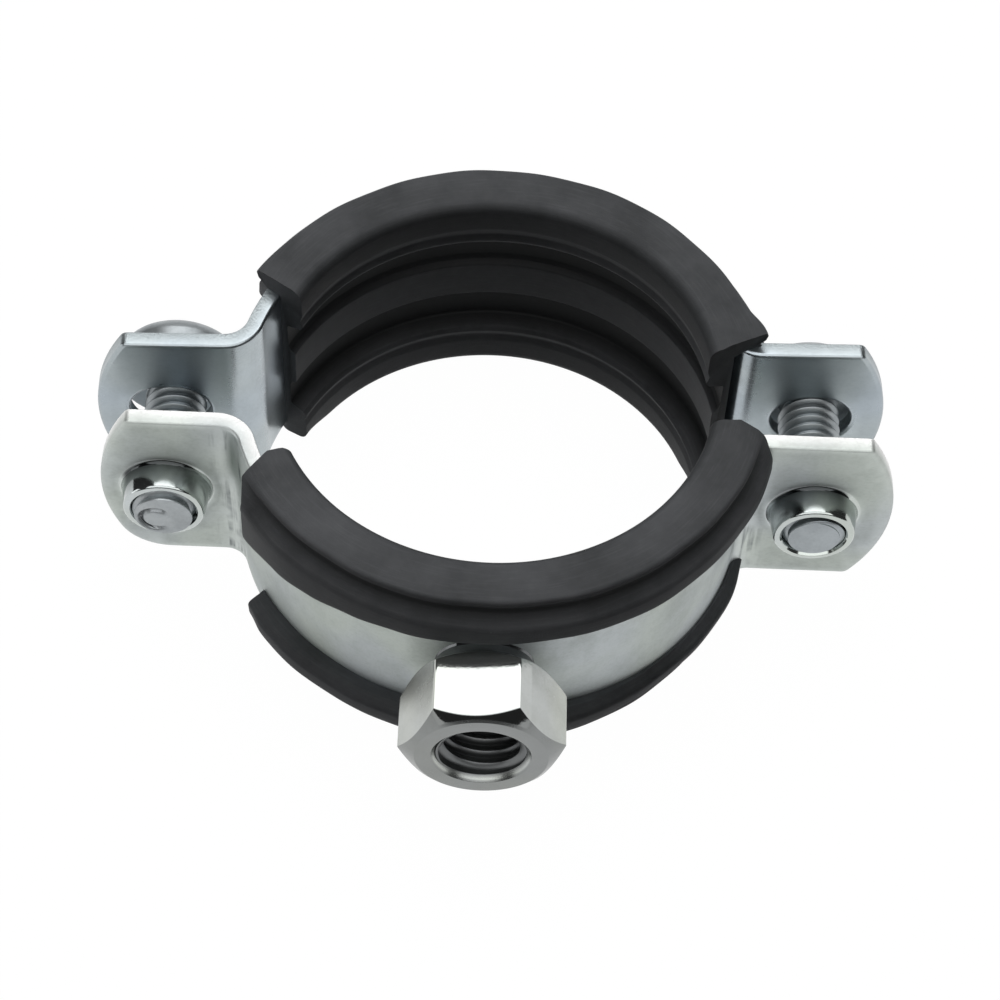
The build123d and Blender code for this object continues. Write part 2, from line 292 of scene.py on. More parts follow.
def makeRubber():
    material, tree, shader, position = newMaterial("rubber")
    x, y, z = addNode(tree, "ShaderNodeSeparateXYZ", {0: position}).outputs
    drawn = addNode(tree, "ShaderNodeCombineXYZ", {
        0: fromAxis(tree, x, y), 1: z, 2: calc(tree, "MULTIPLY", calc(tree, "ARCTAN2", y, x), 1.5)}).outputs[0]
    streaks = noise(tree, drawn, rubberFinish["streak"], 2.0)
    clouds = stretch(tree, noise(tree, position, rubberFinish["filmSize"], 5.0, 0.6), 0.35, 0.75)
    film = calc(tree, "ADD", calc(tree, "MULTIPLY", clouds, rubberFinish["filmShare"]), calc(
        tree, "MULTIPLY", stretch(tree, streaks, 0.5, 0.8), rubberFinish["streakShare"]))
    dust = 0.0
    for layer in rubberFinish["dust"]:
        sizes = {label: layer[label] for label in ("Spacing", "Speck Size", "Share")}
        specks = useGroup(tree, dustSpecks, dict(sizes, Position=position))["Mask"]
        dust = calc(tree, "MAXIMUM", calc(tree, "MULTIPLY", specks, layer["amount"]), dust)
    base = mixColor(tree, film, rubberFinish["black"], rubberFinish["film"])
    # painted shade: near black mixed in by the shade attribute in the linings' hollows
    base = mixColor(tree, pointValue(tree, "shade"), base, rubberFinish["paintedHollowShadeTint"])
    tree.links.new(mixColor(tree, dust, base, rubberFinish["dustTint"]), shader["Base Color"])
    tree.links.new(calc(tree, "ADD", rubberFinish["roughness"], calc(
        tree, "ADD", calc(tree, "MULTIPLY", film, 0.14), calc(tree, "MULTIPLY", dust, 0.3))), shader["Roughness"])
    shader["Specular IOR Level"].default_value = rubberFinish["specular"]
    soft = bump(tree, noise(tree, position, rubberFinish["swell"], 1.0), 1.0, rubberFinish["swellDepth"])
    lined = bump(tree, streaks, 0.5, rubberFinish["streakDepth"], soft)
    pebble = noise(tree, position, rubberFinish["pebble"], 2.0, 0.6)
    tree.links.new(bump(tree, pebble, 0.6, rubberFinish["pebbleDepth"], lined), shader["Normal"])
    return material


frontZinc = makeStripZinc("frontZinc", frontLook, frontTints)
rearZinc = makeStripZinc("rearZinc", rearLook, rearShadedTints)
rubber = makeRubber()
print("sheet zinc and rubber made")


def smooth(value):
    t = min(max(value, 0.0), 1.0)
    return t * t * (3 - 2 * t)


# Outlines: corners rounded by arcs, each point with the normal that lies to the right of the way it runs.
def roundedPath(points, radii, steps=5, closed=False):
    path = []
    count = len(points)
    for i in range(count):
        here = Vector(points[i])
        if not closed and i in (0, count - 1):
            along = (Vector(points[1]) - here) if i == 0 else (here - Vector(points[i - 1]))
            along.normalize()
            path.append((here, Vector((along.y, -along.x))))
            continue
        before, after = Vector(points[i - 1]), Vector(points[(i + 1) % count])
        come, go = (here - before).normalized(), (after - here).normalized()
        turn = math.atan2(come.x * go.y - come.y * go.x, come.dot(go))
        if abs(turn) < 1e-4 or radii[i] <= 0:
            mid = (come + go).normalized()
            path.append((here, Vector((mid.y, -mid.x))))
            continue
        reach = min(radii[i] * math.tan(abs(turn) / 2), 0.48 * (here - before).length, 0.48 * (after - here).length)
        radius = reach / math.tan(abs(turn) / 2)
        side = 1 if turn > 0 else -1
        start = here - come * reach
        centre = start + Vector((-come.y, come.x)) * radius * side
        for k in range(steps + 1):
            angle = turn * k / steps
            spun = Matrix.Rotation(angle, 2) @ come
            outward = Vector((spun.y, -spun.x))
            path.append((centre + outward * radius * side, outward))
    return path


def linkPiece(name, mesh, material):
    piece = bpy.data.objects.new(name, mesh)
    bpy.context.collection.objects.link(piece)
    if material is not None:
        mesh.materials.clear()
        mesh.materials.append(material)
    return piece


def meshFrom(name, verts, faces, normals=None, sharpAngle=None):
    mesh = bpy.data.meshes.new(name)
    mesh.from_pydata([tuple(v) for v in verts], [], faces)
    mesh.update()
    mesh.shade_smooth()
    if sharpAngle is not None:
        mesh.set_sharp_from_angle(angle=math.radians(sharpAngle))
    if normals is not None:
        mesh.normals_split_custom_set_from_vertices([tuple(n) for n in normals])
    return mesh


# A section swept round the Z axis, level for a ring or rising for a thread, then turned into place.
# A run out is the share of the path over which each end of a thread shrinks to its smallest scale.
def makeSweep(smallestScale=0.03, tiny=1e-6):
    tree, given, out = newGroup(
        "sectionSweep", "GeometryNodeTree",
        [("Section", "NodeSocketGeometry", None), ("Path Radius", "NodeSocketFloat", 0.02),
         ("Turns", "NodeSocketFloat", 0.4), ("Rise", "NodeSocketFloat", 0.0),
         ("Steps per Turn", "NodeSocketInt", 300), ("Run Out", "NodeSocketFloat", 0.0),
         ("Start Angle", "NodeSocketFloat", 0.0), ("Tip Over", "NodeSocketFloat", 0.0),
         ("Place", "NodeSocketVector", None), ("Finish", "NodeSocketMaterial", None)],
        [("Piece", "NodeSocketGeometry")])
    path = addNode(tree, "GeometryNodeCurveSpiral", {
        "Resolution": given["Steps per Turn"], "Rotations": given["Turns"], "Start Radius": given["Path Radius"],
        "End Radius": given["Path Radius"], "Height": given["Rise"], "Reverse": True}).outputs[0]
    upright = addNode(tree, "GeometryNodeSetCurveNormal", {"Curve": path}, mode="Z_UP").outputs[0]
    share = addNode(tree, "GeometryNodeSplineParameter").outputs["Factor"]
    nearEnd = calc(tree, "MINIMUM", share, calc(tree, "SUBTRACT", 1.0, share))
    grow = calc(tree, "DIVIDE", calc(tree, "ADD", nearEnd, 2 * tiny), calc(
        tree, "MAXIMUM", given["Run Out"], tiny), clamp=True)
    section = addNode(tree, "GeometryNodeMeshToCurve", {0: given["Section"]}).outputs[0]
    swept = addNode(tree, "GeometryNodeCurveToMesh", {
        "Curve": upright, "Profile Curve": section, "Scale": calc(tree, "MAXIMUM", grow, smallestScale),
        "Fill Caps": True}).outputs[0]
    spin = addNode(tree, "ShaderNodeCombineXYZ", {2: given["Start Angle"]}).outputs[0]
    tip = addNode(tree, "ShaderNodeCombineXYZ", {0: given["Tip Over"]}).outputs[0]
    turned = addNode(tree, "GeometryNodeTransform", {"Geometry": swept, "Rotation": spin}).outputs[0]
    placed = addNode(tree, "GeometryNodeTransform", {
        "Geometry": turned, "Rotation": tip, "Translation": given["Place"]}).outputs[0]
    real = addNode(tree, "GeometryNodeRealizeInstances", {0: placed}).outputs[0]
    done = addNode(tree, "GeometryNodeSetMaterial", {"Geometry": real, "Material": given["Finish"]}).outputs[0]
    tree.links.new(done, out["Piece"])
    return tree


sectionSweep = makeSweep()


def sweep(name, section, material, **sizes):
    outline = bpy.data.meshes.new(name + "Section")
    outline.from_pydata([(x * mm, y * mm, 0) for x, y in section],
                        [(i, (i + 1) % len(section)) for i in range(len(section))], [])
    holder = linkPiece(name + "Holder", outline, None)
    modifier = holder.modifiers.new("sweep", "NODES")
    modifier.node_group = sectionSweep
    sizes["Finish"] = material
    for item in sectionSweep.interface.items_tree:
        if item.in_out == "INPUT" and item.name in sizes:
            modifier[item.identifier] = sizes[item.name]
    depsgraph = bpy.context.evaluated_depsgraph_get()
    mesh = bpy.data.meshes.new_from_object(holder.evaluated_get(depsgraph), depsgraph=depsgraph)
    bpy.data.objects.remove(holder)
    mesh.name = name
    return mesh


# Bent strips. The blank lies flat in (s, z), s measured along its middle from the crown,
# and is then bent along the centre line: arc, bend, ear, the same both ways.
strip = {"thickness": 1.5, "halfWidth": 10.0, "bandInner": 22.7, "bendRadius": 2.3, "earInner": 4.2,
         "screwX": 30.3536, "endRadius": 18.0, "rollWidth": 0.45, "rollDepth": 0.28, "sheared": 0.3, "burrEdge": 0.07,
         "rows": [-9.1, -7, -5, -3, -1, 1, 3, 5, 7, 9.1], "rowGap": 0.35, "arcSteps": 56, "foldSteps": 24}
earMiddle = strip["earInner"] + strip["thickness"] / 2
bendY = strip["earInner"] + strip["thickness"] + strip["bendRadius"]
bendX = math.sqrt((strip["bandInner"] + strip["thickness"] + strip["bendRadius"]) ** 2 - bendY ** 2)
bendStart = math.atan2(bendY, bendX)
arcRadius = strip["bandInner"] + strip["thickness"] / 2
arcLength = arcRadius * (math.pi / 2 - bendStart)
foldRadius = strip["bendRadius"] + strip["thickness"] / 2
foldLength = foldRadius * (math.pi / 2 - bendStart)
screwS = arcLength + foldLength + strip["screwX"] - bendX


def bentPoint(s):
    side = 1 if s >= 0 else -1
    a = abs(s)
    if a <= arcLength:
        angle = math.pi / 2 - a / arcRadius
        place, out = Vector((math.cos(angle), math.sin(angle))) * arcRadius, Vector((math.cos(angle), math.sin(angle)))
    elif a <= arcLength + foldLength:
        angle = bendStart + (a - arcLength) / foldRadius
        out = Vector((math.cos(angle), math.sin(angle)))
        place = Vector((bendX, bendY)) - out * foldRadius
    else:
        out = Vector((0, 1))
        place = Vector((bendX + a - arcLength - foldLength, earMiddle))
    along = Vector((out.y, -out.x))
    return Vector((place.x * side, place.y)), Vector((out.x * side, out.y)), Vector((along.x, along.y * side))


# One end of the blank: a wide arc that rolls into both long edges, z rising, with normals pointing out.
def endCurve(end, lowRounding, highRounding):
    half, radius = strip["halfWidth"], strip["endRadius"]
    middle = end - radius
    corners = []
    for rounding in (lowRounding, highRounding):
        across = math.sqrt((radius - rounding) ** 2 - (half - rounding) ** 2)
        corners.append((middle + across, half - rounding, math.atan2(half - rounding, across), rounding))
    points = []
    low, high = corners
    for k in range(9):
        angle = -math.pi / 2 + (math.pi / 2 - low[2]) * k / 9
        points.append((low[0] + low[3] * math.cos(angle), -low[1] + low[3] * math.sin(angle), angle))
    for k in range(25):
        angle = -low[2] + (low[2] + high[2]) * k / 24
        points.append((middle + radius * math.cos(angle), radius * math.sin(angle), angle))
    for k in range(1, 10):
        angle = high[2] + (math.pi / 2 - high[2]) * k / 9
        points.append((high[0] + high[3] * math.cos(angle), high[1] + high[3] * math.sin(angle), angle))
    return [(Vector((x, z)), Vector((math.cos(a), math.sin(a)))) for x, z, a in points]


def blankOutline(leftEnd, rightEnd, corners):
    right = endCurve(rightEnd, corners[0], corners[1])
    left = [(Vector((-p.x, p.y)), Vector((-n.x, n.y))) for p, n in reversed(endCurve(leftEnd, corners[3], corners[2]))]
    columns = stripColumns(min(-left[0][0].x, -left[-1][0].x) - 0.4, min(right[0][0].x, right[-1][0].x) - 0.4)
    loop = right
    loop += [(Vector((s, strip["halfWidth"])), Vector((0, 1))) for s in reversed(columns)]
    loop += left
    return loop + [(Vector((s, -strip["halfWidth"])), Vector((0, -1))) for s in columns]


def stripColumns(left, right):
    flatFrom = arcLength + foldLength
    arcSteps, foldSteps = strip["arcSteps"], strip["foldSteps"]
    marks = [arcLength * k / arcSteps for k in range(-arcSteps, arcSteps + 1)]
    for side in (-1, 1):
        marks += [side * (arcLength + foldLength * k / foldSteps) for k in range(1, foldSteps + 1)]
    for side, end in ((-1, left), (1, right)):
        count = max(int((end - flatFrom) / 1.0), 1)
        marks += [side * (flatFrom + (end - flatFrom) * k / count) for k in range(1, count + 1)]
    return sorted(marks)


def holeLoop(s, length, width, steps=48):
    shift = max(length - width, 0) / 2
    loop = []
    for k in range(steps):
        angle = -2 * math.pi * k / steps
        way = Vector((math.cos(angle), math.sin(angle)))
        loop.append((Vector((s + (shift if way.x > 0 else -shift), 0)), way))
    return loop


def insideLoop(point, loop):
    inside = False
    for i in range(len(loop)):
        a, b = loop[i], loop[i - 1]
        if (a.y > point.y) != (b.y > point.y) and point.x < (b.x - a.x) * (point.y - a.y) / (b.y - a.y) + a.x:
            inside = not inside
    return inside


# Collar: distance from the screw's axis, distance from the clamp's middle plane. A painted dark reflection lies on the
# upper half of its root.
collar = {
    "section": [(5.0, 5.7), (4.15, 5.7), (3.78, 8.45), (3.20, 8.5), (3.0, 8.25), (3.0, 4.75), (3.5, 4.2), (3.7, 4.2)],
    "rounding": [0, 0.7, 0.55, 0.08, 0.05, 0.3, 0.1, 0],
    "brightFrom": 0.3, "brightOver": 0.5, "darkReflection": {"radius": 4.2, "width": 0.27, "strength": 0.95}}


def collarBright(inset):
    return smooth((inset - collar["brightFrom"]) / collar["brightOver"])


# painted dark reflection: a near-black band round the collar's root, on its upper side
def collarDarkReflection(way, radius):
    darkReflection = collar["darkReflection"]
    upper = smooth((way.y + 0.25 * way.x - 0.45) / 0.3)
    return darkReflection["strength"] * upper * math.exp(-((radius - darkReflection["radius"]) / darkReflection["width"]) ** 2)


# The sheared wall from face to face: inset, height, the normal's share of each, and how torn it is.
def shearedEdge(rollInside):
    thick, burr = strip["thickness"] / 2, strip["burrEdge"]
    rollWidth, rollDepth = strip["rollWidth"], strip["rollDepth"]
    edge = [(rollWidth * (1 - math.sin(t)), thick - rollDepth * (1 - math.cos(t)), -math.sin(t), math.cos(t), 0.1 * t)
            for t in [math.pi / 12 * k for k in range(7)]]
    edge += [(0, thick - rollDepth - strip["sheared"], -1, 0, 0.35), (0, -thick + burr, -1, 0, 1.0),
             (burr * 0.3, -thick + burr * 0.3, -0.7, -0.7, 0.8), (burr, -thick, 0, -1, 0.0)]
    return [(a, -b, c, -d, e) for a, b, c, d, e in reversed(edge)] if rollInside else edge


# The blank's loops, first the outline and then the two holes: anchor points, and the rings that stand off them.
def blankLoops(settings):
    edge = shearedEdge(settings["rollInside"])
    outline = blankOutline(settings["leftEnd"], settings["rightEnd"], settings["corners"])
    loops = [([(point, -normal) for point, normal in outline], edge)]
    for side in (-1, 1):
        if settings["collar"]:
            section = roundedPath(settings["collar"]["section"], settings["collar"]["rounding"], 8)
            rings = [(p.x, p.y - earMiddle, n.x, n.y, 0.0) for p, n in section]
            loops.append((holeLoop(side * screwS, 0, 0, 72), rings))
        else:
            slot = settings["slot"]
            rings = [(slot["width"] / 2 + a, b, c, d, e) for a, b, c, d, e in edge]
            loops.append((holeLoop(side * (screwS + slot["shift"]), slot["length"], slot["width"], 64), rings))
    return loops


def buildStrip(name, settings):
    thick, loops = strip["thickness"] / 2, blankLoops(settings)
    flat, frames, faces = [], [], []
    marks = {"cut": [], "worked": [], "folded": [], "dimmed": []}

    def mark(**values):
        for label, value in values.items():
            marks[label].append(value)

    faceLoops = ([], [])
    for anchors, rings in loops:
        drawn = settings["collar"] is not None and anchors is not loops[0][0]
        outermost = rings[0][0]
        base = len(flat)
        count = len(anchors)
        for offset, height, nOffset, nHeight, torn in rings:
            for anchor, way in anchors:
                spot = anchor + way * offset
                flat.append((spot.x, spot.y, height))
                frames.append((way.x * nOffset, way.y * nOffset, nHeight))
                bright, darkReflection = (collarBright(outermost - offset), collarDarkReflection(way, offset)) if drawn else (0.3, 0.0)
                mark(cut=torn, worked=bright, folded=0.0, dimmed=darkReflection)
        for r in range(len(rings) - 1):
            for k in range(count):
                a, b = base + r * count + k, base + r * count + (k + 1) % count
                faces.append((a, a + count, b + count, b))
        faceLoops[0].append(list(range(base, base + count)))
        faceLoops[1].append(list(range(base + (len(rings) - 1) * count, base + len(rings) * count)))
    columns = stripColumns(settings["leftEnd"] - 0.6, settings["rightEnd"] - 0.6)
    for facing, height in ((0, thick), (1, -thick)):
        ids = [i for loop in faceLoops[facing] for i in loop]
        shapes = [[Vector(flat[i][:2]) for i in loop] for loop in faceLoops[facing]]
        edges, base = [], 0
        for loop in faceLoops[facing]:
            edges += [(base + k, base + (k + 1) % len(loop)) for k in range(len(loop))]
            base += len(loop)
        spots = [Vector(flat[i][:2]) for i in ids]
        for s in columns:
            for z in strip["rows"]:
                spot = Vector((s, z))
                if not insideLoop(spot, shapes[0]) or any(insideLoop(spot, hole) for hole in shapes[1:]):
                    continue
                if abs(s) > arcLength + foldLength and any(
                        (spot - edge).length < strip["rowGap"] for shape in shapes for edge in shape):
                    continue
                spots.append(spot)
                ids.append(len(flat))
                flat.append((s, z, height))
                frames.append((0, 0, 1 if facing == 0 else -1))
                fold = abs(abs(s) - arcLength - foldLength / 2) / (foldLength / 2 + 1.5)
                mark(cut=0.0, worked=max(1 - fold, 0.0) * 0.6, folded=smooth(1.6 - 1.6 * fold), dimmed=0.0)
        found = delaunay_2d_cdt(spots, edges, [], 0, 1e-7)
        places, triangles, sources = found[0], found[2], found[3]
        for triangle in triangles:
            centre = (places[triangle[0]] + places[triangle[1]] + places[triangle[2]]) / 3
            if not insideLoop(centre, shapes[0]) or any(insideLoop(centre, hole) for hole in shapes[1:]):
                continue
            corners = [ids[sources[i][0]] for i in triangle]
            a, b, c = (Vector(flat[i][:2]) for i in corners)
            area = (b - a).cross(c - a)
            if abs(area) < 1e-4:
                continue
            faces.append(tuple(corners if (area > 0) == (facing == 0) else reversed(corners)))
    verts, normals = [], []
    spin = Matrix.Rotation(math.radians(settings["turn"]), 3, "Z")
    for (s, z, n), (ns, nz, nn) in zip(flat, frames):
        place, out, along = bentPoint(s)
        spot = place + out * n
        verts.append(spin @ Vector((spot.x, spot.y, z)) * mm)
        tilt = along * ns + out * nn
        normals.append((spin @ Vector((tilt.x, tilt.y, nz))).normalized())
    # the (s, z) blank seen from outside runs the other way round once bent, so every face is turned over
    mesh = meshFrom(name, verts, [tuple(reversed(f)) for f in faces], normals)
    blank = mesh.uv_layers.new(name="blank")
    for loop in mesh.loops:
        blank.data[loop.index].uv = flat[loop.vertex_index][:2]
    for label, values in marks.items():
        mesh.attributes.new(label, "FLOAT", "POINT").data.foreach_set("value", values)
    return linkPiece(name, mesh, settings["finish"])


earFrom = arcLength + foldLength - bendX  # where x = 0 would lie on the blank
frontStrip = {"turn": 180.0, "leftEnd": earFrom + 37.80, "rightEnd": earFrom + 36.50, "rollInside": False,
              "corners": (5.0, 0.6, 0.6, 0.9), "collar": collar, "finish": frontZinc}
rearStrip = {"turn": 1.7, "leftEnd": earFrom + 37.60, "rightEnd": earFrom + 37.60, "rollInside": True,
             "corners": (0.8, 0.8, 0.8, 0.8), "collar": None, "finish": rearZinc,
             "slot": {"length": 7.7, "width": 6.7, "shift": 0.35}}
stripFront = buildStrip("stripFront", frontStrip)
stripRear = buildStrip("stripRear", rearStrip)
print("strips bent:", len(stripFront.data.polygons), len(stripRear.data.polygons), "faces")


# Linings: section as (radius, height, rounding) for the upper half, mirrored below.
lining = {
    "section": [(21.2, 2.15, 0.25), (21.75, 2.55, 0.15), (21.95, 3.1, 0.2), (22.0, 6.0, 0.35), (20.45, 6.5, 0.25),
                (20.15, 7.0, 0.35), (20.45, 7.75, 0.5), (20.2, 8.6, 1.0), (20.2, 11.8, 1.5), (22.6, 12.0, 4.0),
                (25.3, 11.9, 0.8), (24.85, 10.7, 0.6), (26.35, 9.3, 1.1), (26.45, 7.2, 0.75), (25.35, 6.7, 0.3),
                (24.22, 6.85, 0.12), (24.22, 10.02, 0.05), (22.68, 10.02, 0.05)],
    "span": 141.0, "steps": 620, "pathRadius": 23.0, "dressed": 10.5, "lipRadius": 24.1,
    "rolled": {"radius": 23.4, "height": 8.6, "wide": 3.0, "tall": 3.35},
    "hollows": {"valley": 0.85, "groove": 0.8, "wall": 0.4}}


def liningOutline():
    upper = [(r, z) for r, z, rounding in lining["section"]]
    radii = [rounding for r, z, rounding in lining["section"]]
    points = upper + [(r, -z) for r, z in reversed(upper)]
    path = roundedPath(points, radii + radii[::-1], 5, closed=True)
    return [(p.x - lining["pathRadius"], -p.y) for p, normal in path]


# Each cap is filled as a flat section, so that it stays sound when the ends are pulled about.
def fillCaps(mesh):
    work = bmesh.new()
    work.from_mesh(mesh)
    for cap in [f for f in work.faces if len(f.verts) > 4]:
        corners = list(cap.verts)
        flat = [Vector((math.hypot(v.co.x, v.co.y) / mm, v.co.z / mm)) for v in corners]
        found = delaunay_2d_cdt(flat, [(i, (i + 1) % len(flat)) for i in range(len(flat))], [], 1, 1e-7)
        facing = cap.normal.copy()
        work.faces.remove(cap)
        for triangle in found[2]:
            face = work.faces.new([corners[found[3][i][0]] for i in triangle])
            face.normal_update()
            if face.normal.dot(facing) < 0:
                face.normal_flip()
    work.to_mesh(mesh)
    work.free()


def readTable(table, value):
    for (x0, y0), (x1, y1) in zip(table, table[1:]):
        if value <= x1:
            return y0 + (y1 - y0) * smooth((value - x0) / (x1 - x0))
    return table[-1][1]


# How much painted shade each point gets: in the groove beside the strip, on the upright wall inside, and in the valley
# between the flange and the outer lip.
def hollowShade(r, z):
    tall, hollows = abs(z), lining["hollows"]
    valley = math.exp(-((r - 24.95) / 0.45) ** 2 - ((tall - 10.75) / 0.5) ** 2)
    groove = smooth((r - 21.3) / 0.3) * smooth((22.3 - r) / 0.2)
    groove *= smooth((tall - 2.2) / 0.6) * smooth((6.6 - tall) / 0.4)
    wall = smooth((20.9 - r) / 0.4) * smooth((tall - 8.0) / 1.0) * (1 if z > 0 else 0.4)
    return max(hollows["groove"] * groove, hollows["wall"] * wall), hollows["valley"] * valley


# After the sweep the ends are dressed: cut askew as the tables say (radius, degrees past the plain cut), with the
# outer lips cut back separately. The droop and thin tables go by the degrees from the end.
def buildLining(name, settings):
    middle, rolled = settings["middle"], lining["rolled"]
    mesh = sweep(name, liningOutline(), rubber, **{
        "Path Radius": lining["pathRadius"] * mm, "Turns": lining["span"] / 360, "Steps per Turn": lining["steps"],
        "Start Angle": math.radians(middle - lining["span"] / 2)})
    fillCaps(mesh)
    shade = mesh.attributes.new("shade", "FLOAT", "POINT")
    half = math.radians(lining["span"] / 2)
    for vert, level in zip(mesh.vertices, shade.data):
        x, y, z = (c / mm for c in vert.co)
        r = math.hypot(x, y)
        level.value, valley = hollowShade(r, z)
        angle = math.atan2(y, x) - math.radians(middle)
        angle = (angle + math.pi) % (2 * math.pi) - math.pi
        low = z < 0
        lip = smooth((r - 23.9) / 0.5) if low else smooth((r - 24.4) / 1.0) * smooth((10.9 - z) / 1.2)
        lipEdge = smooth((r - 24.4) / 1.4)
        ledge = smooth((r - 23.0) / 2.0) * smooth((abs(z) - 10.2) / 0.8)
        for end in settings["ends"]:
            gap = math.degrees(half - angle * end["side"])
            if gap < math.degrees(half):
                level.value = max(level.value, valley * (smooth((gap + 4) / 22) if end["rounded"] else 1))
            if low and r > lining["lipRadius"] and "thin" in end:
                thinner = readTable(end["thin"], gap)
                r -= thinner * smooth((r - 24.2) / 1.5)
                z -= 0.7 * thinner * smooth((z + 9.6) / 2.6)
            if z > 0 and r > lining["lipRadius"] and "droop" in end:
                z -= readTable(end["droop"], gap) * smooth((9.8 - z) / 2.6)
            near = smooth(1 - gap / lining["dressed"])
            if near <= 0:
                continue
            if z > rolled["height"] and r > rolled["radius"] and end["rounded"]:
                tilt = math.atan2((z - rolled["height"]) / 3.4, (r - rolled["radius"]) / rolled["wide"])
                r += (rolled["radius"] + rolled["wide"] * math.cos(tilt) - r) * near
                z += (rolled["height"] + rolled["tall"] * math.sin(tilt) - z) * near
            z += end["rise"] * near * smooth((-8 - z) / 3)
            past = readTable(end["cut"], r)
            past += ((end["lowLip"] if low else end["highLip"]) - past) * lip
            angle += end["side"] * math.radians(past) * near
            r += (end["lowLipOut" if low else "highLipOut"] * lipEdge * lip + end["ledgeOut"] * ledge) * near
        wavy = 0.05 * math.sin(angle * 9 + z * 0.35 + middle) + 0.03 * math.sin(angle * 23 + middle * 2)
        r += wavy * max(lip, ledge)
        angle += math.radians(middle)
        vert.co = Vector((math.cos(angle) * r, math.sin(angle) * r, z)) * mm
    mesh.update()
    mesh.shade_smooth()
    mesh.set_sharp_from_angle(angle=math.radians(42))
    return linkPiece(name, mesh, None)


frontLining = {"middle": 278.0, "ends": [
    {"side": 1, "cut": [(20.2, -0.3), (21.5, 0.3), (23.0, 1.0), (24.2, 0.2), (25.0, -0.6), (26.4, -2.2)],
     "highLip": -2.6, "lowLip": -1.3, "highLipOut": 0.0, "lowLipOut": -0.2, "ledgeOut": 0.0, "rounded": True,
     "rise": 0.0, "thin": [(0, 1.0), (35, 0.9), (70, 0.0)]},
    {"side": -1, "cut": [(20.2, 0.8), (21.2, 1.5), (22.2, 1.8), (23.2, 1.0), (24.2, -0.4), (25.4, -0.9), (26.4, -3.0)],
     "highLip": -4.6, "lowLip": -3.6, "highLipOut": 0.0, "lowLipOut": -0.3, "ledgeOut": 0.0, "rounded": True,
     "rise": 0.0, "droop": [(0, 3.1), (6, 2.8), (16, 2.0), (25, 1.5), (35, 0.75), (45, 0.4), (55, 0.1), (62, 0)]}]}
rearLining = {"middle": 82.7, "ends": [
    {"side": 1, "cut": [(20.2, 2.2), (22.0, 1.6), (24.0, 0.8), (25.5, 0.2), (26.4, 0.0)],
     "highLip": -1.2, "lowLip": -1.0, "highLipOut": -0.7, "lowLipOut": 0.0, "ledgeOut": 0.35, "rounded": False,
     "rise": 0.9},
    {"side": -1, "cut": [(20.2, 1.7), (21.2, 1.6), (22.5, 0.6), (24.0, -1.0), (26.4, -1.7)],
     "highLip": -1.7, "lowLip": -1.7, "highLipOut": -0.2, "lowLipOut": 0.0, "ledgeOut": 0.9, "rounded": False,
     "rise": 1.2}]}
liningFront = buildLining("liningFront", frontLining)
liningRear = buildLining("liningRear", rearLining)
print("linings swept:", len(liningFront.data.polygons), "faces each")


# Turned shapes round an axis along Y: rings of (radius, distance along -Y) for every angle.
def turnedRings(ringAt, steps, axisX=0.0, closeFirst=False, closeLast=False):
    verts, faces = [], []
    count = 0
    for k in range(steps):
        angle = 2 * math.pi * k / steps
        ring = ringAt(angle)
        count = len(ring)
        for radius, depth in ring:
            verts.append(Vector((axisX + radius * math.cos(angle), -depth, radius * math.sin(angle))) * mm)
    for k in range(steps):
        for j in range(count - 1):
            a, b = k * count + j, ((k + 1) % steps) * count + j
            faces.append((a, a + 1, b + 1, b))
    if closeFirst:
        faces.append(tuple(k * count for k in range(steps)))
    if closeLast:
        faces.append(tuple(k * count + count - 1 for k in reversed(range(steps))))
    return verts, faces


def finishMetal(piece):
    weighted = piece.modifiers.new("evenNormals", "WEIGHTED_NORMAL")
    weighted.keep_sharp = True
    weighted.weight = 80
    depsgraph = bpy.context.evaluated_depsgraph_get()
    mesh = bpy.data.meshes.new_from_object(piece.evaluated_get(depsgraph), depsgraph=depsgraph)
    piece.modifiers.clear()
    piece.data = mesh
    return piece


def joinMeshes(name, meshes, material):
    verts, faces = [], []
    for mesh in meshes:
        base = len(verts)
        verts += [v.co.copy() for v in mesh.vertices]
        faces += [tuple(base + i for i in p.vertices) for p in mesh.polygons]
    mesh = meshFrom(name, verts, faces, sharpAngle=38)
    return linkPiece(name, mesh, material)


# V threads, right-handed, swept by the same tree: the section stands out of a shaft or into a hole.
def threadMesh(name, axisX, start, end, radius, crest, pitch, material, phase=0.0):
    depth = crest - radius
    flank = abs(depth) * 0.577
    inner = -0.06 if depth > 0 else 0.06
    crown = 0.055 * pitch
    section = [(inner, flank + crown), (0, flank + crown), (depth * 0.96, crown * 1.2), (depth, crown * 0.5),
               (depth, -crown * 0.5), (depth * 0.96, -crown * 1.2), (0, -flank - crown), (inner, -flank - crown)]
    length = abs(end - start)
    return sweep(name, section, material, **{
        "Path Radius": radius * mm, "Turns": length / pitch, "Rise": length * mm, "Steps per Turn": 44,
        "Run Out": 0.35 * pitch / length, "Start Angle": phase, "Tip Over": math.pi / 2,
        "Place": (axisX * mm, -start * mm, 0.0)})


